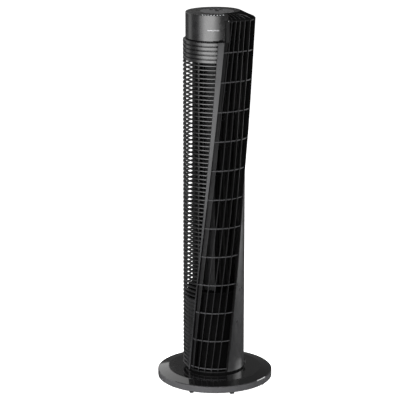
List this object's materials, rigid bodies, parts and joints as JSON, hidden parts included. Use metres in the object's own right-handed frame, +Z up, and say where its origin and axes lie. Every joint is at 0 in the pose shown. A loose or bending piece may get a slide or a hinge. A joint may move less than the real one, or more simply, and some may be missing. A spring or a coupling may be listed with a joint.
{
  "type": "tower fan",
  "caption": "Floor-standing tower fan: ribbed outlet with one slanted and one upright edge, slatted intake sides, upright cross-flow impeller, control head and round base.",
  "frame": {"origin": "centre of the base on the floor plane the feet stand on", "axes": "+Z up the tower, -Y out of the narrow lower end of the air outlet, +X to the outlet's left when facing it from the fan"},
  "size_m": [0.321, 0.321, 1.041],
  "materials": {
    "base_black": "textured",
    "base_gloss": "polished",
    "foot_rubber": "matte",
    "screw_steel": "zinc plated",
    "inner_black": "moulded",
    "back_satin": "satin",
    "gland_rubber": "matte",
    "shell_satin": "satin",
    "frame_matte": "moulded",
    "trim_gloss": "satin",
    "rib_satin": "satin",
    "head_gloss": "polished",
    "duct_grey": "moulded",
    "fan_black": "moulded",
    "shaft_steel": "ground",
    "bearing_brass": "sintered",
    "motor_paint": "satin",
    "iron_core": "laminated",
    "rotor_alu": "cast",
    "bracket_steel": "zinc plated",
    "cap_satin": "satin",
    "panel_gloss": "polished",
    "board_green": "resist",
    "switch_black": "moulded",
    "light_lens": "diffusing",
    "badge_grey": "satin",
    "key_black": "polished"
  },
  "bodies": {
    "tower": {"base_plate": "base_black", "base_rim": "base_gloss", "base_deck": "base_gloss", "base_feet": "foot_rubber", "base_screws": "screw_steel", "tower_foot": "inner_black", "foot_screws": "screw_steel", "back_shell": "back_satin", "cord_gland": "gland_rubber", "side_frame_right": "frame_matte", "side_frame_left": "frame_matte", "side_grille_right": "shell_satin", "side_grille_left": "shell_satin", "side_trim_right": "trim_gloss", "side_trim_left": "trim_gloss", "outlet_grille": "rib_satin", "outlet_skirt": "head_gloss", "motor_bay_wall": "inner_black", "motor_deck": "inner_black", "bearing_deck": "inner_black", "head_deck": "inner_black", "scroll_wall": "duct_grey", "stabiliser_wall": "duct_grey", "top_bearing": "bearing_brass", "bearing_cushion": "gland_rubber", "motor_housing": "motor_paint", "motor_bearings": "bearing_brass", "motor_stator": "iron_core", "motor_bracket": "bracket_steel", "motor_screws": "screw_steel", "shoulder_cap": "cap_satin", "head_shell": "head_gloss", "top_panel": "panel_gloss", "control_board": "board_green", "key_switches": "switch_black", "indicator_lights": "light_lens", "head_badge": "badge_grey"},
    "impeller": {"impeller_cage": "fan_black", "drive_shaft": "shaft_steel", "top_pin": "shaft_steel", "motor_rotor": "rotor_alu"},
    "button_power": {"button_power": "key_black"},
    "button_1": {"button_1": "key_black"},
    "button_2": {"button_2": "key_black"},
    "button_3": {"button_3": "key_black"},
    "button_4": {"button_4": "key_black"}
  },
  "joints": [
    {"name": "impeller_spin", "type": "hinge", "parent": "tower", "child": "impeller", "pos_m": [0, 0, 0.6], "axis": [0, 0, 1], "continuous": true},
    {"name": "button_power_press", "type": "slide", "parent": "tower", "child": "button_power", "axis": [0, 0, -1], "range_m": [0, 0.0012], "stiffness_N_per_m": 1200, "springref_m": -0.0006},
    {"name": "button_1_press", "type": "slide", "parent": "tower", "child": "button_1", "axis": [0, 0, -1], "range_m": [0, 0.0012], "stiffness_N_per_m": 1200, "springref_m": -0.0006},
    {"name": "button_2_press", "type": "slide", "parent": "tower", "child": "button_2", "axis": [0, 0, -1], "range_m": [0, 0.0012], "stiffness_N_per_m": 1200, "springref_m": -0.0006},
    {"name": "button_3_press", "type": "slide", "parent": "tower", "child": "button_3", "axis": [0, 0, -1], "range_m": [0, 0.0012], "stiffness_N_per_m": 1200, "springref_m": -0.0006},
    {"name": "button_4_press", "type": "slide", "parent": "tower", "child": "button_4", "axis": [0, 0, -1], "range_m": [0, 0.0012], "stiffness_N_per_m": 1200, "springref_m": -0.0006}
  ]
}
